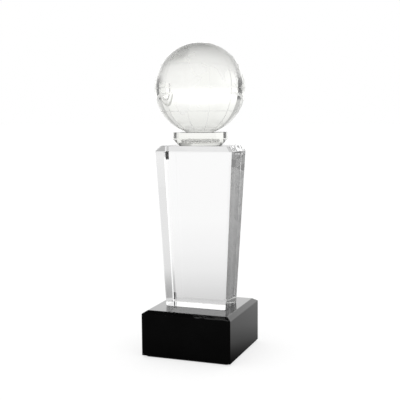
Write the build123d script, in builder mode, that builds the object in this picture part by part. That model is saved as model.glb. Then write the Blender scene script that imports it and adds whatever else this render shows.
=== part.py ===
# Column trophy: an engraved crystal ball seated on a round collar, on a tapered
# crystal column, on a black crystal base with a felt pad under it.
# Millimetres, +Z up, front towards -Y. The origin is the middle of the face that
# the trophy stands on.

import math
import os

from build123d import *

# Driving dimensions
pad_thickness = 1.0         # felt under the base
pad_inset = 2.0             # from the base's wall to the felt's edge
pad_corner = 2.0            # radius of the felt's corners

base_side = 61.5            # the base is square
base_height = 30.0
base_bevel_run = 3.2        # top bevel, measured across the top
base_bevel_rise = 2.0       # top bevel, measured down the wall

bond_thickness = 0.1        # clear adhesive between two crystal pieces
bond_inset = 0.4            # from a seat's edge to the adhesive's edge

column_height = 107.5
column_foot_width = 42.0
column_foot_depth = 25.2
column_head_width = 53.8
column_head_depth = 31.8
crown_run = 3.0             # bevel round the column's head, across the top
crown_rise = 3.5            # the same bevel, down the faces
column_edge = 1.2           # chamfer on the column's corners, from foot to crown

collar_radius = 18.5
collar_height = 8.8
collar_bevel = 4.2          # 45 degree bevel round the collar's underside

globe_radius = 30.0
globe_seat_radius = 9.5     # flat ground on the ball's underside

arris = 0.3                 # small safety chamfer on crystal edges

# Heights of the joint faces, from the floor up
base_bottom = pad_thickness
base_top = base_bottom + base_height
column_bottom = base_top + bond_thickness
column_top = column_bottom + column_height
collar_bottom = column_top + bond_thickness
collar_top = collar_bottom + collar_height
globe_bottom = collar_top + bond_thickness
globe_seat_drop = math.sqrt(globe_radius**2 - globe_seat_radius**2)
globe_centre = globe_bottom + globe_seat_drop
collar_foot_radius = collar_radius - collar_bevel

# The column's flat top, inside its bevel
head_width = column_head_width - 2 * crown_run
head_depth = column_head_depth - 2 * crown_run

os.makedirs("parts", exist_ok=True)


# Felt pad, glued under the base
with BuildPart() as foot_pad:
    with BuildSketch(Plane.XY):
        pad_side = base_side - 2 * pad_inset
        RectangleRounded(pad_side, pad_side, pad_corner)
    extrude(amount=pad_thickness)
foot_pad.part.label = "foot_pad"
export_step(foot_pad.part, "parts/foot_pad.step")


# Base, a square block of black crystal with a bevelled top
with BuildPart() as base:
    with BuildSketch(Plane.XY.offset(base_bottom)):
        Rectangle(base_side, base_side)
    extrude(amount=base_height)
    base_upper_face = base.faces().sort_by(Axis.Z)[-1]
    chamfer(
        base_upper_face.edges(),
        length=base_bevel_run,
        length2=base_bevel_rise,
        reference=base_upper_face,
    )
    chamfer(base.edges().filter_by(Axis.Z), length=arris)
    chamfer(base.edges().group_by(Axis.Z)[0], length=arris)
base.part.label = "base"
export_step(base.part, "parts/base.step")


# Clear adhesive between the base and the column, cut at its corners as the column's foot is
with BuildPart() as column_bond:
    with BuildSketch(Plane.XY.offset(base_top)) as foot_film:
        Rectangle(column_foot_width - 2 * bond_inset, column_foot_depth - 2 * bond_inset)
        chamfer(foot_film.vertices(), length=column_edge)
    extrude(amount=bond_thickness)
column_bond.part.label = "column_bond"
export_step(column_bond.part, "parts/column_bond.step")


# Column, clear crystal, wider at the head, with a bevelled crown
with BuildPart() as column:
    with BuildSketch(Plane.XY.offset(column_bottom)):
        Rectangle(column_foot_width, column_foot_depth)
    with BuildSketch(Plane.XY.offset(column_top - crown_rise)):
        Rectangle(column_head_width, column_head_depth)
    loft(ruled=True)
    with BuildSketch(Plane.XY.offset(column_top - crown_rise)):
        Rectangle(column_head_width, column_head_depth)
    with BuildSketch(Plane.XY.offset(column_top)):
        Rectangle(head_width, head_depth)
    loft(ruled=True)
    corners = column.edges().filter_by(lambda edge: abs(edge.tangent_at(0.5).Z) > 0.5)
    chamfer(corners, length=column_edge)
    chamfer(column.edges().group_by(Axis.Z)[0], length=arris)
column.part.label = "column"
export_step(column.part, "parts/column.step")


# Clear adhesive between the column and the collar. The collar's foot is wider than the
# column's head is deep, so the film stops at the head's edge.
with BuildPart() as collar_bond:
    with BuildSketch(Plane.XY.offset(column_top)):
        Circle(collar_foot_radius - bond_inset)
        Rectangle(head_width - 2 * bond_inset, head_depth - 2 * bond_inset, mode=Mode.INTERSECT)
    extrude(amount=bond_thickness)
collar_bond.part.label = "collar_bond"
export_step(collar_bond.part, "parts/collar_bond.step")


# Collar, a round crystal plate with a deep bevel round its underside
with BuildPart() as collar:
    with BuildSketch(Plane.XY.offset(collar_bottom)):
        Circle(collar_radius)
    extrude(amount=collar_height)
    chamfer(collar.edges().group_by(Axis.Z)[0], length=collar_bevel)
    chamfer(collar.edges().group_by(Axis.Z)[-1], length=arris)
collar.part.label = "collar"
export_step(collar.part, "parts/collar.step")


# Clear adhesive between the collar and the globe
with BuildPart() as globe_bond:
    with BuildSketch(Plane.XY.offset(collar_top)):
        Circle(globe_seat_radius - bond_inset)
    extrude(amount=bond_thickness)
globe_bond.part.label = "globe_bond"
export_step(globe_bond.part, "parts/globe_bond.step")


# Globe, a solid crystal ball ground flat where it sits on the collar
with BuildPart() as globe:
    with BuildSketch(Plane.XZ):
        with BuildLine():
            seat_edge = (globe_seat_radius, globe_bottom)
            crown_point = (0, globe_centre + globe_radius)
            equator_point = (globe_radius, globe_centre)
            Line((0, globe_bottom), seat_edge)
            ThreePointArc(seat_edge, equator_point, crown_point)
            Line(crown_point, (0, globe_bottom))
        make_face()
    revolve(axis=Axis.Z)
globe.part.label = "globe"
export_step(globe.part, "parts/globe.step")
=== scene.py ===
import math

import bmesh
import bpy
import numpy as np
from mathutils import Matrix, Vector
from mathutils.kdtree import KDTree


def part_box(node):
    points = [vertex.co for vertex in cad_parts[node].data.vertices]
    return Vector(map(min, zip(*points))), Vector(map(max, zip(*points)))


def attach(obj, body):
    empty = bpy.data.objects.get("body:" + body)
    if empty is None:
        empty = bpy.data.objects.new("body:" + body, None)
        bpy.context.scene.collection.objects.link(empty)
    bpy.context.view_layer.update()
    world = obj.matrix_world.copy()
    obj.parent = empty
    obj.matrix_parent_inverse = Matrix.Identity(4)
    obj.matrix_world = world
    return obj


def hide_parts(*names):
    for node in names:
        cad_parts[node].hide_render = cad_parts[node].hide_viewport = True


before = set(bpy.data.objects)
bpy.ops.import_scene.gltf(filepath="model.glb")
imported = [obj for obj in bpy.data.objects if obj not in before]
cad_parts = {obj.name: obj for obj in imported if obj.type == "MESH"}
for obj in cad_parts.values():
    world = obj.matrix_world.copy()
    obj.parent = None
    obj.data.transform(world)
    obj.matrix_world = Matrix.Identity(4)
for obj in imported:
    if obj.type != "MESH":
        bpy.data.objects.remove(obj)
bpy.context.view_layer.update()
mm = 0.001
print("frame loaded")


# camera
cameraSetup = {
    "azimuth": 20.67,      # degrees round from the front, towards the right
    "elevation": 6.08,     # degrees above level
    "roll": -0.44,
    "distance": 529.9,     # mm
    "aim": (-0.5, 102.0),  # mm, sideways and up from the middle of the floor face
    "lens": 71.17,
    "clip": (0.01, 50),    # metres
}


def makeCamera(setup):
    turn, rise = math.radians(setup["azimuth"]), math.radians(setup["elevation"])
    back = Vector((math.sin(turn) * math.cos(rise), -math.cos(turn) * math.cos(rise), math.sin(rise)))
    right = Vector((math.cos(turn), math.sin(turn), 0))
    up = back.cross(right)
    aside, height = setup["aim"]
    spot = Vector((0, 0, height)) + right * aside + back * setup["distance"]
    axes = Matrix((right, up, back)).transposed() @ Matrix.Rotation(math.radians(setup["roll"]), 3, "Z")
    lens = bpy.data.cameras.new("studioCamera")
    lens.lens = setup["lens"]
    lens.clip_start, lens.clip_end = setup["clip"]
    camera = bpy.data.objects.new("studioCamera", lens)
    camera.matrix_world = Matrix.Translation(spot * mm) @ axes.to_4x4()
    bpy.context.scene.collection.objects.link(camera)
    bpy.context.scene.camera = camera


makeCamera(cameraSetup)
print("camera set")


# materials
def newMaterial(name):
    material = bpy.data.materials.new(name)
    material.use_nodes = True
    nodes, links = material.node_tree.nodes, material.node_tree.links
    shader = nodes["Principled BSDF"]
    place = nodes.new("ShaderNodeTexCoord")
    return material, nodes, links, shader, place


def addNoise(nodes, links, place, scale, detail=2.0):
    noise = nodes.new("ShaderNodeTexNoise")
    noise.inputs["Scale"].default_value = scale
    noise.inputs["Detail"].default_value = detail
    links.new(place.outputs["Object"], noise.inputs["Vector"])
    return noise.outputs["Fac"]


def ranged(nodes, links, source, starts, gives, kind="SMOOTHSTEP"):
    ranger = nodes.new("ShaderNodeMapRange")
    ranger.interpolation_type = kind
    ranger.inputs["From Min"].default_value = starts[0]
    ranger.inputs["From Max"].default_value = starts[1]
    ranger.inputs["To Min"].default_value = gives[0]
    ranger.inputs["To Max"].default_value = gives[1]
    links.new(source, ranger.inputs["Value"])
    return ranger.outputs["Result"]


noiseMiddle = (0.3, 0.7)  # most of a noise lies between these


def spread(nodes, links, source, gives):
    return ranged(nodes, links, source, noiseMiddle, gives, "LINEAR")


def tint(nodes, links, source, dark, light):
    ramp = nodes.new("ShaderNodeValToRGB")
    ramp.color_ramp.elements[0].color = (*dark, 1)
    ramp.color_ramp.elements[1].color = (*light, 1)
    links.new(source, ramp.inputs["Fac"])
    return ramp.outputs["Color"]


def glass(name, index, rough, scale, colour=(1, 1, 1)):
    material, nodes, links, shader, place = newMaterial(name)
    shader.inputs["Transmission Weight"].default_value = 1.0
    shader.inputs["IOR"].default_value = index
    shader.inputs["Base Color"].default_value = (*colour, 1)
    grain = addNoise(nodes, links, place, scale)
    links.new(spread(nodes, links, grain, rough), shader.inputs["Roughness"])
    return material


blackTones = ((0.001, 0.001, 0.001), (0.003, 0.003, 0.003))


def blackGlass(name, index, rough, scale):
    material, nodes, links, shader, place = newMaterial(name)
    shader.inputs["IOR"].default_value = index
    haze = addNoise(nodes, links, place, scale)
    links.new(spread(nodes, links, haze, rough), shader.inputs["Roughness"])
    links.new(tint(nodes, links, haze, *blackTones), shader.inputs["Base Color"])
    return material


feltLook = {
    "rough": 0.95,
    "sheen": 0.3,
    "scale": 2500,  # of the fibres
    "detail": 6.0,
    "tones": ((0.006, 0.006, 0.007), (0.03, 0.03, 0.032)),
    "bump": 0.6,
    "pile": 0.2,    # mm
}


def feltCloth(look):
    material, nodes, links, shader, place = newMaterial("feltCloth")
    shader.inputs["Roughness"].default_value = look["rough"]
    shader.inputs["Sheen Weight"].default_value = look["sheen"]
    fibres = addNoise(nodes, links, place, look["scale"], look["detail"])
    links.new(tint(nodes, links, fibres, *look["tones"]), shader.inputs["Base Color"])
    pile = nodes.new("ShaderNodeBump")
    pile.inputs["Strength"].default_value = look["bump"]
    pile.inputs["Distance"].default_value = look["pile"] * mm
    links.new(fibres, pile.inputs["Height"])
    links.new(pile.outputs["Normal"], shader.inputs["Normal"])
    return material


# a glass has its refractive index, least and most roughness, and the scale of its grain
crystal = glass("clearCrystal", 1.52, (0.0, 0.004), 60)
ballCrystal = glass("ballCrystal", 1.52, (0.0, 0.004), 60, (0.985, 0.99, 0.955))  # faintly warmer
etched = glass("etchedCrystal", 1.52, (0.35, 0.55), 3000, (0.99, 0.99, 0.97))
joined = glass("joinedFace", 1.0, (0.0, 0.001), 60)   # wetted by the glue, so it shows no air gap
footFace = glass("footFace", 1.02, (0.0, 0.001), 60)  # crystal against glue, a mirror only at a glance
glue = glass("clearGlue", 1.0, (0.0, 0.001), 90)
black = blackGlass("blackCrystal", 1.52, (0.0, 0.012), 80)
blackJoint = blackGlass("blackJoint", 1.02, (0.1, 0.2), 80)  # under the glue, where black has no gloss
felt = feltCloth(feltLook)
print("materials made")


# pieces
flatness = 1e-6  # metres, within which a height counts as the same
weld = 1e-7      # metres, within which two points are one


def placeMesh(bm, name):
    mesh = bpy.data.meshes.new(name)
    bm.to_mesh(mesh)
    bm.free()
    placed = bpy.data.objects.new(name, mesh)
    bpy.context.scene.collection.objects.link(placed)
    return placed


def finishPiece(bm, name, node, finishes, smoothBelow=0):
    bmesh.ops.recalc_face_normals(bm, faces=bm.faces)
    if smoothBelow:
        limit = math.radians(smoothBelow)
        for face in bm.faces:
            face.smooth = True
        for edge in bm.edges:
            edge.smooth = edge.calc_face_angle(0) < limit
    piece = placeMesh(bm, name)
    for finish in finishes:
        piece.data.materials.append(finish)
    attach(piece, "root")
    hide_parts(node)
    return piece


def slab(low, high):
    bm = bmesh.new()
    bmesh.ops.create_cube(bm, size=1.0)
    bmesh.ops.scale(bm, vec=high - low, verts=bm.verts)
    bmesh.ops.translate(bm, vec=(high + low) / 2, verts=bm.verts)
    return bm


def cut(bm, faces, point, normal, **options):
    edges = {edge for face in faces for edge in face.edges}
    verts = {vert for face in faces for vert in face.verts}
    geometry = list(faces) + list(edges) + list(verts)
    return bmesh.ops.bisect_plane(bm, geom=geometry, plane_co=point, plane_no=normal, **options)


def level(bm, height):
    # the flat faces that lie at a height
    return [face for face in bm.faces if all(abs(vert.co.z - height) < flatness for vert in face.verts)]


def softenEdges(bm, edges, width):
    bmesh.ops.bevel(
        bm, geom=edges, offset=width, offset_type="OFFSET", segments=1, profile=0.5,
        affect="EDGES", material=-1,
    )


def steep(edge, share=0.3):
    # an edge that rises by more than this share of its length
    return abs(edge.verts[0].co.z - edge.verts[1].co.z) > share * edge.calc_length()


def lift(bm, faces):
    # grows walls round some faces and gives back what stands on the walls
    alone = len(faces) == len(bm.faces)
    grown = bmesh.ops.extrude_face_region(bm, geom=faces)["geom"]
    if not alone:
        bmesh.ops.delete(bm, geom=faces, context="FACES")
    verts = [item for item in grown if isinstance(item, bmesh.types.BMVert)]
    return verts, [item for item in grown if isinstance(item, bmesh.types.BMFace)]


def squareUp(verts, width, depth, height):
    # puts each vertex at its own corner of a level rectangle
    for vert in verts:
        vert.co = (math.copysign(width / 2, vert.co.x), math.copysign(depth / 2, vert.co.y), height)


def growCap(bm, cap, width, depth, height):
    verts, cap = lift(bm, cap)
    squareUp(verts, width, depth, height)
    return cap


# column
columnShape = {
    "foot": (42.0, 25.2),
    "head": (53.8, 31.8),
    "crownRun": 3.0,
    "crownRise": 3.5,
    "corner": 1.2,     # chamfer on the corners, foot to crown
    "arris": 0.25,
    "patchSteps": 96,  # round the glued patch on the head
}


def makeColumn(shape):
    low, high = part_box("column")
    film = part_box("collar_bond")[1]
    bm = bmesh.new()
    bmesh.ops.create_grid(bm, x_segments=1, y_segments=1, size=0.5)
    width, depth = (side * mm for side in shape["foot"])
    squareUp(bm.verts, width, depth, low.z)
    width, depth = (side * mm for side in shape["head"])
    cap = growCap(bm, bm.faces[:], width, depth, high.z - shape["crownRise"] * mm)
    narrower = 2 * shape["crownRun"] * mm
    growCap(bm, cap, width - narrower, depth - narrower, high.z)
    bmesh.ops.recalc_face_normals(bm, faces=bm.faces)
    softenEdges(bm, [edge for edge in bm.edges if steep(edge)], shape["corner"] * mm)
    softenEdges(bm, [edge for edge in bm.edges if not steep(edge)], shape["arris"] * mm)
    for face in level(bm, low.z):
        face.material_index = 2

    # the head's flat, with the glued patch let into it
    flat = level(bm, high.z)
    rim = list(flat[0].edges)
    bmesh.ops.delete(bm, geom=flat, context="FACES_ONLY")
    steps = shape["patchSteps"]
    ring = bmesh.ops.create_circle(bm, cap_ends=False, segments=steps, radius=film.x)["verts"]
    for vert in ring:
        vert.co = (vert.co.x, max(-film.y, min(film.y, vert.co.y)), high.z)
    patch = bm.faces.new(ring)
    patch.material_index = 1
    bmesh.ops.triangle_fill(bm, edges=rim + list(patch.edges), use_beauty=True, normal=(0, 0, 1))
    return finishPiece(bm, "tapered_column", "column", (crystal, joined, footFace))


makeColumn(columnShape)


# base
baseShape = {"bevelRun": 3.2, "bevelRise": 2.0, "arris": 0.25}


def makeBase(shape):
    low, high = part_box("base")
    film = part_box("column_bond")[1]
    wallTop = high.z - shape["bevelRise"] * mm
    inset = shape["bevelRun"] * mm
    bm = slab(low, Vector((high.x, high.y, wallTop)))
    growCap(bm, level(bm, wallTop), 2 * (high.x - inset), 2 * (high.y - inset), high.z)
    softenEdges(bm, bm.edges[:], shape["arris"] * mm)
    for side in (1, -1):
        cut(bm, level(bm, high.z), (side * film.x, 0, high.z), (side, 0, 0))
        cut(bm, level(bm, high.z), (0, side * film.y, high.z), (0, side, 0))
    for face in level(bm, high.z):
        middle = face.calc_center_median()
        if abs(middle.x) < film.x and abs(middle.y) < film.y:
            face.material_index = 1
    return finishPiece(bm, "black_base", "base", (black, blackJoint))


makeBase(baseShape)


# collar
collarShape = {
    "bevel": 4.2,
    "arris": 0.25,
    "steps": 160,
    "smoothBelow": 30,  # degrees
}


def turned(profile, steps):
    bm = bmesh.new()
    verts = [bm.verts.new((radius, 0, height)) for radius, height in profile]
    edges = [bm.edges.new(pair) for pair in zip(verts, verts[1:])]
    bmesh.ops.spin(
        bm, geom=verts + edges, cent=(0, 0, 0), axis=(0, 0, 1), angle=math.tau,
        steps=steps, use_merge=True,
    )
    bmesh.ops.remove_doubles(bm, verts=bm.verts, dist=weld)
    return bm


def makeCollar(shape):
    low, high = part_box("collar")
    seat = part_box("globe_bond")[1].x
    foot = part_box("collar_bond")[1]
    radius, bevel, arris = high.x, shape["bevel"] * mm, shape["arris"] * mm
    profile = [
        (0, low.z),
        (foot.x, low.z),
        (radius - bevel, low.z),
        (radius, low.z + bevel),
        (radius, high.z - arris),
        (radius - arris, high.z),
        (seat, high.z),
        (0, high.z),
    ]
    bm = turned(profile, shape["steps"])
    for side in (1, -1):
        cut(bm, level(bm, low.z), (0, side * foot.y, low.z), (0, side, 0))
    for face in level(bm, high.z):
        if face.calc_center_median().xy.length < seat:
            face.material_index = 1
    for face in level(bm, low.z):
        middle = face.calc_center_median()
        if middle.xy.length < foot.x and abs(middle.y) < foot.y:
            face.material_index = 1
    finishes = (ballCrystal, joined)
    return finishPiece(bm, "round_collar", "collar", finishes, shape["smoothBelow"])


makeCollar(collarShape)


# globe
globeShape = {
    "around": 180,
    "over": 90,
    "facing": 48.0,      # the longitude that faces the camera
    "groove": 0.45,      # mm wide
    "depth": 0.12,       # mm, of the etched land
    "grooveDepth": 0.1,  # mm more
    "every": 30,         # degrees from one grid line to the next
    "lastParallel": 60,  # degrees either side of the equator
    "north": 80.0,       # the engraving stops short of the pole
    "south": -69.0,      # and of the seat
    "iceEdge": -85,      # a coast line that reaches further south is not cut
    "reach": 1.2,        # mm, how far past a coast line's ends its cut runs
    "coastSnap": 0.04,   # mm, a cut this near a vertex goes through it
    "lineSnap": 0.02,    # the same, for the grid lines
    "seatRim": 0.05,     # mm, vertices below this height over the seat stay put
    "wall": 0.6,         # cosine of a face's tilt from the ball's surface, under which it is a wall
}
mapTurn = globeShape["facing"] + 90 - cameraSetup["azimuth"]  # the longitude that lies along x

# longitude and latitude round each land
lands = {
    "africa": [
        (-17, 15), (-16, 21), (-10, 30), (-6, 35), (3, 37), (10, 37), (11, 33), (20, 31), (25, 32),
        (32, 31), (35, 27), (37, 21), (40, 15), (43, 12), (51, 12), (48, 5), (41, -2), (39, -8),
        (41, -15), (35, -20), (35, -25), (31, -30), (26, -34), (19, -35), (17, -29), (14, -22),
        (12, -15), (13, -8), (9, -1), (9, 4), (4, 6), (-4, 5), (-8, 4), (-13, 8),
    ],
    "eurasia": [
        (-9, 37), (-9, 43), (-2, 43), (-1, 46), (-5, 48), (2, 51), (8, 54), (8, 57), (11, 56),
        (13, 54), (20, 55), (24, 59), (30, 60), (22, 60), (22, 64), (25, 65), (20, 63), (17, 60),
        (15, 56), (11, 59), (5, 59), (5, 62), (13, 66), (20, 70), (28, 71), (41, 67), (34, 66),
        (38, 64), (45, 68), (55, 68), (68, 69), (72, 73), (80, 73), (90, 75), (104, 77), (113, 74),
        (130, 71), (140, 72), (160, 70), (170, 69), (180, 69), (190, 66), (179, 63), (170, 60),
        (163, 58), (162, 55), (157, 51), (156, 57), (163, 62), (155, 59), (143, 59), (136, 54),
        (141, 52), (139, 47), (132, 43), (128, 39), (129, 36), (126, 35), (125, 39), (118, 39),
        (122, 37), (119, 35), (122, 30), (117, 24), (110, 21), (106, 19), (109, 13), (105, 9),
        (101, 13), (100, 8), (104, 1), (100, 5), (98, 12), (97, 17), (92, 21), (88, 22), (80, 15),
        (80, 10), (77, 8), (73, 16), (72, 21), (67, 25), (57, 26), (50, 30), (51, 25), (56, 25),
        (59, 22), (54, 17), (45, 13), (43, 13), (39, 21), (35, 28), (34, 31), (36, 36), (30, 36),
        (27, 37), (27, 40), (30, 41), (38, 41), (41, 42), (38, 45), (39, 47), (34, 46), (31, 47),
        (28, 43), (23, 40), (24, 38), (22, 37), (19, 41), (13, 45), (12, 44), (18, 40), (16, 38),
        (11, 43), (8, 44), (3, 42), (0, 39), (-2, 37), (-5, 36),
    ],
    "northAmerica": [
        (-168, 66), (-156, 71), (-141, 70), (-128, 70), (-115, 68), (-108, 68), (-95, 72), (-85, 69),
        (-82, 67), (-87, 64), (-94, 61), (-94, 58), (-82, 55), (-80, 51), (-77, 57), (-78, 62),
        (-73, 62), (-65, 59), (-57, 52), (-66, 50), (-65, 47), (-60, 46), (-70, 43), (-74, 40),
        (-76, 36), (-81, 31), (-80, 25), (-83, 29), (-89, 30), (-95, 29), (-98, 25), (-97, 21),
        (-94, 18), (-91, 18), (-90, 21), (-87, 21), (-88, 16), (-83, 15), (-83, 11), (-77, 8),
        (-83, 8), (-86, 11), (-96, 16), (-105, 20), (-109, 26), (-113, 31), (-110, 24), (-117, 33),
        (-121, 35), (-124, 40), (-124, 47), (-135, 58), (-146, 61), (-152, 59), (-160, 55),
        (-158, 59), (-166, 62),
    ],
    "southAmerica": [
        (-77, 8), (-72, 12), (-62, 10), (-57, 6), (-51, 4), (-50, 0), (-44, -3), (-35, -6),
        (-39, -13), (-40, -21), (-48, -26), (-53, -33), (-57, -36), (-62, -39), (-65, -42),
        (-66, -46), (-69, -51), (-68, -55), (-74, -52), (-75, -46), (-73, -38), (-71, -30),
        (-70, -18), (-76, -14), (-81, -6), (-80, -2), (-77, 4),
    ],
    "australia": [
        (114, -22), (114, -34), (118, -35), (124, -33), (131, -31), (135, -35), (138, -33),
        (140, -38), (146, -39), (150, -37), (153, -31), (153, -25), (146, -19), (145, -15),
        (142, -11), (140, -17), (136, -15), (136, -12), (131, -12), (129, -15), (122, -18),
    ],
    "greenland": [
        (-73, 78), (-60, 81), (-35, 83), (-18, 80), (-20, 74), (-24, 70), (-40, 65), (-43, 60),
        (-51, 64), (-54, 69), (-60, 76),
    ],
    "baffin": [(-62, 66), (-68, 70), (-80, 74), (-89, 71), (-78, 70), (-72, 66), (-77, 64), (-66, 62)],
    "iceland": [(-24, 65), (-16, 66), (-14, 65), (-19, 63)],
    "britain": [(-5, 50), (1, 51), (0, 54), (-2, 57), (-5, 58), (-5, 54)],
    "madagascar": [(49, -12), (50, -16), (47, -25), (44, -24), (44, -17)],
    "ceylon": [(80, 9), (82, 7), (80, 6)],
    "sumatra": [(95, 5), (98, 3), (104, -2), (106, -6), (102, -4), (98, 0)],
    "java": [(105, -6), (114, -7), (114, -9), (106, -8)],
    "borneo": [(109, 2), (113, 3), (117, 7), (119, 5), (117, 1), (116, -4), (111, -3)],
    "celebes": [(119, 1), (125, 1), (121, -1), (122, -5), (119, -5)],
    "newGuinea": [
        (131, -1), (135, -3), (141, -3), (147, -6), (150, -10), (146, -8), (143, -9), (138, -8),
        (133, -4),
    ],
    "philippines": [(120, 18), (122, 18), (124, 12), (126, 8), (122, 7), (121, 14)],
    "japan": [(130, 31), (131, 34), (136, 36), (140, 41), (142, 39), (140, 35), (135, 33)],
    "tasmania": [(145, -41), (148, -41), (147, -44)],
    "newZealand": [(173, -34), (178, -38), (175, -42), (171, -46), (166, -46), (171, -42), (174, -39)],
    "antarctica": [
        (-180, -78), (-160, -77), (-145, -75), (-125, -73), (-105, -73), (-90, -72), (-75, -71),
        (-67, -67), (-58, -63), (-61, -67), (-62, -75), (-40, -78), (-25, -75), (-10, -71), (10, -70),
        (30, -69), (50, -67), (70, -68), (90, -67), (110, -66), (130, -66), (150, -68), (165, -71),
        (180, -78), (180, -90), (-180, -90),
    ],
}


def direction(longitude, latitude):
    turn = math.radians(longitude - mapTurn)
    rise = math.radians(latitude)
    return Vector((math.cos(turn) * math.cos(rise), math.sin(turn) * math.cos(rise), math.sin(rise)))


def reachFaces(verts, tree, middle, reach):
    # every face near a point, walking out from the ball's first vertices
    found = set()
    near = [verts[index] for _, index, _ in tree.find_range(middle, reach)]
    front = [face for vert in near for face in vert.link_faces]
    while front:
        found.update(front)
        beside = {other for face in front for vert in face.verts for other in vert.link_faces} - found
        front = [face for face in beside if (face.calc_center_median() - middle).length < reach]
    return found


def cutCoasts(bm, shape, radius):
    verts = bm.verts[:]
    tree = KDTree(len(verts))
    for index, vert in enumerate(verts):
        tree.insert(vert.co, index)
    tree.balance()
    for outline in lands.values():
        for start, end in zip(outline, outline[1:] + outline[:1]):
            if min(start[1], end[1]) < shape["iceEdge"]:
                continue
            first, last = direction(*start), direction(*end)
            middle = (first + last).normalized() * radius
            reach = (first - last).length / 2 * radius + shape["reach"] * mm
            faces = reachFaces(verts, tree, middle, reach)
            cut(bm, faces, (0, 0, 0), first.cross(last).normalized(), dist=shape["coastSnap"] * mm)


def onLand(longitudes, latitudes):
    found = np.zeros(len(longitudes), bool)
    for outline in lands.values():
        for turn in (-360, 0, 360):
            inside = np.zeros(len(longitudes), bool)
            spots = longitudes + turn
            for (x0, y0), (x1, y1) in zip(outline, outline[1:] + outline[:1]):
                if y0 == y1:
                    continue
                crossing = x0 + (latitudes - y0) * (x1 - x0) / (y1 - y0)
                inside ^= ((y0 > latitudes) != (y1 > latitudes)) & (spots < crossing)
            found |= inside
    return found


def gridPlanes(shape, radius):
    # a point and a normal for both walls of each grid line and for the engraving's two ends
    half = shape["groove"] * mm / 2
    last = shape["lastParallel"]
    parallels = [math.radians(angle) for angle in range(-last, last + 1, shape["every"])]
    levels = [radius * math.sin(angle + side * half / radius) for angle in parallels for side in (-1, 1)]
    levels += [radius * math.sin(math.radians(shape[limit])) for limit in ("north", "south")]
    planes = [(Vector((0, 0, height)), Vector((0, 0, 1))) for height in levels]
    normals = [direction(90 + angle, 0) for angle in range(0, 180, shape["every"])]
    planes += [(normal * side * half, normal) for normal in normals for side in (-1, 1)]
    return planes, normals, parallels


def markFaces(bm, shape, radius, normals, parallels):
    # 2 on the grid lines, 1 on land and 0 elsewhere
    half = shape["groove"] * mm / 2
    middles = np.array([face.calc_center_median().normalized() for face in bm.faces])
    latitudes = np.degrees(np.arcsin(middles[:, 2]))
    turns = np.degrees(np.arctan2(middles[:, 1], middles[:, 0]))
    longitudes = (turns + mapTurn + 180) % 360 - 180
    inside = (latitudes < shape["north"]) & (latitudes > shape["south"])
    line = np.zeros(len(middles), bool)
    for normal in normals:
        line |= np.abs(middles @ np.array(normal)) * radius < half
    for angle in parallels:
        line |= np.abs(np.radians(latitudes) - angle) * radius < half
    line &= inside
    land = onLand(longitudes, latitudes) & inside
    kind = bm.faces.layers.int.new("kind")
    for face, isLine, isLand in zip(bm.faces, line, land):
        face[kind] = 2 if isLine else int(isLand)
    return kind


def joinPatches(bm, kind):
    # where two patches to be sunk would touch at a point, the faces round it join them
    for vert in bm.verts:
        pairs = [edge.link_faces for edge in vert.link_edges if len(edge.link_faces) == 2]
        if sum((first[kind] > 0) != (last[kind] > 0) for first, last in pairs) > 2:
            for face in vert.link_faces:
                face[kind] = max(1, face[kind])


def sink(bm, faces, radius, depth):
    verts, floors = lift(bm, faces)
    for vert in verts:
        vert.co *= (radius - depth) / radius
    return floors


def dressGlobe(bm, shape, radius):
    # etches what is sunk, and gives back a normal for each corner
    seat = max(bm.faces, key=lambda face: len(face.verts))
    seat.material_index = 2
    bends = []
    for face in bm.faces:
        face.smooth = True
        face.normal_update()
        middle = face.calc_center_median()
        wall = abs(face.normal.dot(middle.normalized())) < shape["wall"]
        if face is not seat and (wall or middle.length < radius - shape["depth"] * mm / 2):
            face.material_index = 1
        for vert in face.verts:
            bends.append(face.normal.copy() if wall or face is seat else vert.co.normalized())
    return bends


def makeGlobe(shape):
    low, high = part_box("globe")
    radius = high.x
    centre = high.z - radius
    seatHeight = low.z - centre
    depth = shape["depth"] * mm
    bm = bmesh.new()
    bmesh.ops.create_uvsphere(bm, u_segments=shape["around"], v_segments=shape["over"], radius=radius)
    cut(bm, bm.faces[:], (0, 0, seatHeight), (0, 0, -1), clear_outer=True)
    planes, normals, parallels = gridPlanes(shape, radius)
    cutCoasts(bm, shape, radius)
    for point, normal in planes:
        cut(bm, bm.faces[:], point, normal, dist=shape["lineSnap"] * mm)
    for vert in bm.verts:
        if vert.co.z > seatHeight + shape["seatRim"] * mm:
            vert.co *= radius / vert.co.length
    print("globe cut into", len(bm.faces), "faces")

    kind = markFaces(bm, shape, radius, normals, parallels)
    joinPatches(bm, kind)
    floors = sink(bm, [face for face in bm.faces if face[kind]], radius, depth)
    lines = [face for face in floors if face[kind] == 2]
    sink(bm, lines, radius - depth, shape["grooveDepth"] * mm)
    rim = [edge for edge in bm.edges if edge.is_boundary]
    bmesh.ops.contextual_create(bm, geom=rim)
    bmesh.ops.recalc_face_normals(bm, faces=bm.faces)
    bends = dressGlobe(bm, shape, radius)
    bmesh.ops.translate(bm, vec=(0, 0, centre), verts=bm.verts)
    piece = finishPiece(bm, "engraved_globe", "globe", (ballCrystal, etched, joined))
    piece.data.normals_split_custom_set(bends)
    print("globe triangles", sum(len(face.vertices) - 2 for face in piece.data.polygons))
    return piece


makeGlobe(globeShape)


# glue films
filmShape = {
    "gap": 0.02,    # mm, between a film and the crystal each side of it
    "corner": 1.2,  # as the column's foot is cut
    "steps": 96,
}


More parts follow.
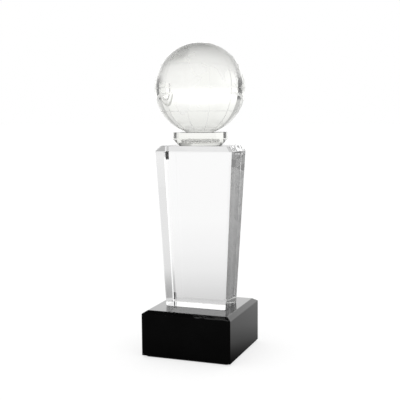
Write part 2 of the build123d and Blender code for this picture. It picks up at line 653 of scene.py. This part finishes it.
def makeFilm(shape, node, name, isRound):
    low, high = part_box(node)
    gap = Vector((0, 0, shape["gap"] * mm))
    low, high = low + gap, high - gap
    if isRound:
        bm = turned([(0, low.z), (high.x, low.z), (high.x, high.z), (0, high.z)], shape["steps"])
        for vert in bm.verts:
            vert.co.y = max(low.y, min(high.y, vert.co.y))
    else:
        bm = slab(low, high)
        softenEdges(bm, [edge for edge in bm.edges if steep(edge)], shape["corner"] * mm)
    return finishPiece(bm, name, node, (glue,))


makeFilm(filmShape, "column_bond", "column_glue", False)
makeFilm(filmShape, "collar_bond", "collar_glue", True)
makeFilm(filmShape, "globe_bond", "globe_glue", True)

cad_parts["foot_pad"].data.materials.clear()
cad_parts["foot_pad"].data.materials.append(felt)
print("pieces made")


# studio
# azimuth, half its width and its soft edge in degrees, then how much light it takes away
lowFlags = [(-107, 7, 2, 0.95), (145, 8, 2, 0.95)]  # only a little above and below level
nearFlags = [(158, 24, 8, 0.38)]                    # only on the floor close by
tallFlags = [                                       # at every height
    (-107, 6, 3, 0.55),
    (143, 7, 3, 0.5),
    (155, 5, 3, 0.18),
    (-38, 9, 4, 0.8),
    (-90, 12, 8, 0.12),
]


def scaled(nodes, links, source, factor):
    times = nodes.new("ShaderNodeMath")
    times.operation = "MULTIPLY"
    links.new(source, times.inputs[0])
    if isinstance(factor, float):
        times.inputs[1].default_value = factor
    else:
        links.new(factor, times.inputs[1])
    return times.outputs["Value"]


def vectorMath(nodes, links, source, operation, other=(0, 0, 0)):
    node = nodes.new("ShaderNodeVectorMath")
    node.operation = operation
    node.inputs[1].default_value = other
    links.new(source, node.inputs[0])
    return node.outputs


def flagged(nodes, links, vector, flags, light, share=None):
    # darkens a light where a flag stands, in full or by a share given from place to place
    flat = vectorMath(nodes, links, vector, "MULTIPLY", (1, 1, 0))["Vector"]
    unit = vectorMath(nodes, links, flat, "NORMALIZE")["Vector"]
    for azimuth, half, soft, dark in flags:
        turn = math.radians(azimuth)
        middle = (math.sin(turn), -math.cos(turn), 0)
        along = vectorMath(nodes, links, unit, "DOT_PRODUCT", middle)["Value"]
        edges = [math.cos(math.radians(angle)) for angle in (half + soft, half)]
        shade = ranged(nodes, links, along, edges, (0, dark))
        if share:
            shade = scaled(nodes, links, shade, share)
        light = scaled(nodes, links, light, ranged(nodes, links, shade, (0, 1), (1, 0), "LINEAR"))
    return light


def stepped(nodes, links, source, stops):
    # a ramp's colours stop at 1, so its steps are divided by the brightest and multiplied again
    peak = float(max(level for _, level in stops))
    ramp = nodes.new("ShaderNodeValToRGB")
    ramp.color_ramp.interpolation = "B_SPLINE"
    while len(ramp.color_ramp.elements) < len(stops):
        ramp.color_ramp.elements.new(0.5)
    for element, (spot, level) in zip(ramp.color_ramp.elements, stops):
        element.position = spot
        element.color = (level / peak, level / peak, level / peak, 1)
    links.new(source, ramp.inputs["Fac"])
    return scaled(nodes, links, ramp.outputs["Color"], peak)


def byRay(nodes, links, shaders, camera, transmission, glossy, other):
    # a different light for each kind of ray
    path = nodes.new("ShaderNodeLightPath")
    picks = {"Is Glossy Ray": glossy, "Is Transmission Ray": transmission, "Is Camera Ray": camera}
    result = other
    for output, source in picks.items():
        pick = nodes.new("ShaderNodeMixShader")
        links.new(path.outputs[output], pick.inputs["Fac"])
        links.new(result, pick.inputs[1])
        links.new(source, pick.inputs[2])
        result = pick.outputs["Shader"]
    links.new(result, shaders.inputs["Surface"])


def light(nodes, links, kind, source):
    shader = nodes.new(kind)
    if isinstance(source, float):
        shader.inputs["Color"].default_value = (source, source, source, 1)
    else:
        links.new(source, shader.inputs["Color"])
    return shader.outputs[0]


# steps run from the middle (0) to a metre out (1); their low values near the middle are a painted shadow
# of the object on the floor, met by rays through and off the crystal
floorLight = {
    "halfSide": 12,                # metres
    "through": [
        (0.0, 0.33), (0.1, 0.52), (0.14, 0.60), (0.19, 0.69), (0.26, 0.78), (0.35, 0.87),
        (0.52, 0.94), (0.85, 0.99),
    ],
    "mirrored": [
        (0.0, 0.03), (0.03, 0.08), (0.05, 0.26), (0.087, 0.5), (0.15, 0.6), (0.4, 0.85), (1.0, 1.2),
    ],
    "front": (0.07, -0.03, 0.02),  # what is left in front, and where it begins and ends
    "lowFrom": (0.6, 1.1),         # metres out, where the low flags begin and are full
    "nearTo": (0.25, 0.5),         # metres out, where the near flags fade and are gone
    "own": 0.37,                   # for the camera, the paint's grey
    "glow": 0.66,                  # and the light it adds
    "other": 0.6,                  # for rays of no kind named
}


def makeFloor(setup):
    bm = bmesh.new()
    bmesh.ops.create_grid(bm, x_segments=1, y_segments=1, size=setup["halfSide"])
    floor = placeMesh(bm, "floor")
    material, nodes, links, shader, place = newMaterial("floorPaint")
    spot = place.outputs["Object"]
    length = vectorMath(nodes, links, spot, "LENGTH")["Value"]
    parts = nodes.new("ShaderNodeSeparateXYZ")
    links.new(spot, parts.inputs[0])
    # painted shadow: for rays through and off the crystal the floor glows less towards the middle, where
    # the object stands
    through = stepped(nodes, links, length, setup["through"])
    through = flagged(nodes, links, spot, tallFlags, through)
    far = ranged(nodes, links, length, setup["lowFrom"], (0, 1))
    through = flagged(nodes, links, spot, lowFlags, through, far)
    near = ranged(nodes, links, length, setup["nearTo"], (1, 0))
    through = flagged(nodes, links, spot, nearFlags, through, near)
    left, begin, end = setup["front"]
    front = ranged(nodes, links, parts.outputs["Y"], (begin, end), (left, 1))
    mirrored = scaled(nodes, links, stepped(nodes, links, length, setup["mirrored"]), front)
    soft = nodes.new("ShaderNodeBsdfDiffuse")
    soft.inputs["Color"].default_value = (setup["own"], setup["own"], setup["own"], 1)
    seen = nodes.new("ShaderNodeAddShader")
    links.new(soft.outputs[0], seen.inputs[0])
    links.new(light(nodes, links, "ShaderNodeEmission", setup["glow"]), seen.inputs[1])
    byRay(
        nodes, links, nodes["Material Output"],
        camera=seen.outputs[0],
        transmission=light(nodes, links, "ShaderNodeEmission", through),
        glossy=light(nodes, links, "ShaderNodeEmission", mirrored),
        other=light(nodes, links, "ShaderNodeEmission", setup["other"]),
    )
    nodes.remove(shader)
    floor.data.materials.append(material)


makeFloor(floorLight)

# steps run from straight down (0) to straight up (1)
worldLight = {
    "through": [
        (0.0, 1.0), (0.49, 1.0), (0.52, 1.05), (0.56, 1.4), (0.6, 1.3), (0.63, 1.05), (0.67, 0.97),
        (0.73, 0.93), (0.81, 0.86), (0.9, 0.76), (1.0, 0.65),
    ],
    "mirrored": [
        (0.0, 0.9), (0.5, 0.9), (0.55, 1.1), (0.6, 2.1), (0.66, 1.6), (0.72, 0.9), (0.8, 0.3),
        (0.88, 0.03), (1.0, 0.01),
    ],
    "front": (0.15, -0.6, 0.0),  # as the floor's, on the direction's y
    "lowTo": (0.2, 0.27),        # the direction's z where the low flags fade and are gone
    "seen": 1.0,                 # for the camera
    "other": 1.05,               # for rays of no kind named
}


def makeWorld(setup):
    world = bpy.data.worlds.new("studioWorld")
    bpy.context.scene.world = world
    world.use_nodes = True
    nodes, links = world.node_tree.nodes, world.node_tree.links
    nodes.clear()
    place = nodes.new("ShaderNodeTexCoord")
    parts = nodes.new("ShaderNodeSeparateXYZ")
    links.new(place.outputs["Generated"], parts.inputs[0])
    height = ranged(nodes, links, parts.outputs["Z"], (-1, 1), (0, 1), "LINEAR")
    through = stepped(nodes, links, height, setup["through"])
    through = flagged(nodes, links, place.outputs["Generated"], tallFlags, through)
    low = ranged(nodes, links, parts.outputs["Z"], setup["lowTo"], (1, 0))
    through = flagged(nodes, links, place.outputs["Generated"], lowFlags, through, low)
    left, begin, end = setup["front"]
    front = ranged(nodes, links, parts.outputs["Y"], (begin, end), (left, 1))
    mirrored = scaled(nodes, links, stepped(nodes, links, height, setup["mirrored"]), front)
    byRay(
        nodes, links, nodes.new("ShaderNodeOutputWorld"),
        camera=light(nodes, links, "ShaderNodeBackground", setup["seen"]),
        transmission=light(nodes, links, "ShaderNodeBackground", through),
        glossy=light(nodes, links, "ShaderNodeBackground", mirrored),
        other=light(nodes, links, "ShaderNodeBackground", setup["other"]),
    )


makeWorld(worldLight)

# dark cards close to the column's left corners, met only by light that has gone through crystal;
# each has its y, then the two edges' x and the height at the bottom and at the top, in mm
sideCards = {
    "backStrip": (16.5, (-23, -37, 31), (-29.4, -43.4, 150)),
    "frontStrip": (-16.5, (-21.6, -34.6, 31), (-28, -41, 150)),
    "crownMark": (17.0, (-25.0, -26.8, 129), (-25.2, -27.0, 138)),
    "footMark": (14.0, (-20.1, -21.9, 32), (-20.3, -22.1, 37)),
}
cardGrey = [(0.0, 0.01), (0.35, 0.03), (0.7, 0.07), (0.88, 0.05), (1.0, 0.03)]
cardSpan = (31, 137)  # mm, the heights between which the grey runs


def makeCard(name, y, low, high):
    bm = bmesh.new()
    corners = [(low[0], low[2]), (low[1], low[2]), (high[1], high[2]), (high[0], high[2])]
    bm.faces.new([bm.verts.new((x * mm, y * mm, z * mm)) for x, z in corners])
    card = placeMesh(bm, name)
    for ray in ("camera", "diffuse", "glossy", "shadow", "volume_scatter"):
        setattr(card, "visible_" + ray, False)
    material, nodes, links, shader, place = newMaterial(name + "Grey")
    parts = nodes.new("ShaderNodeSeparateXYZ")
    links.new(place.outputs["Object"], parts.inputs[0])
    span = [end * mm for end in cardSpan]
    height = ranged(nodes, links, parts.outputs["Z"], span, (0, 1), "LINEAR")
    grey = light(nodes, links, "ShaderNodeEmission", stepped(nodes, links, height, cardGrey))
    links.new(grey, nodes["Material Output"].inputs["Surface"])
    nodes.remove(shader)
    card.data.materials.append(material)


for name, (y, low, high) in sideCards.items():
    makeCard(name, y, low, high)

scene = bpy.context.scene
scene.view_settings.view_transform = "Standard"
scene.cycles.max_bounces = 40
scene.cycles.transmission_bounces = 40
scene.cycles.glossy_bounces = 30
print("studio lit")
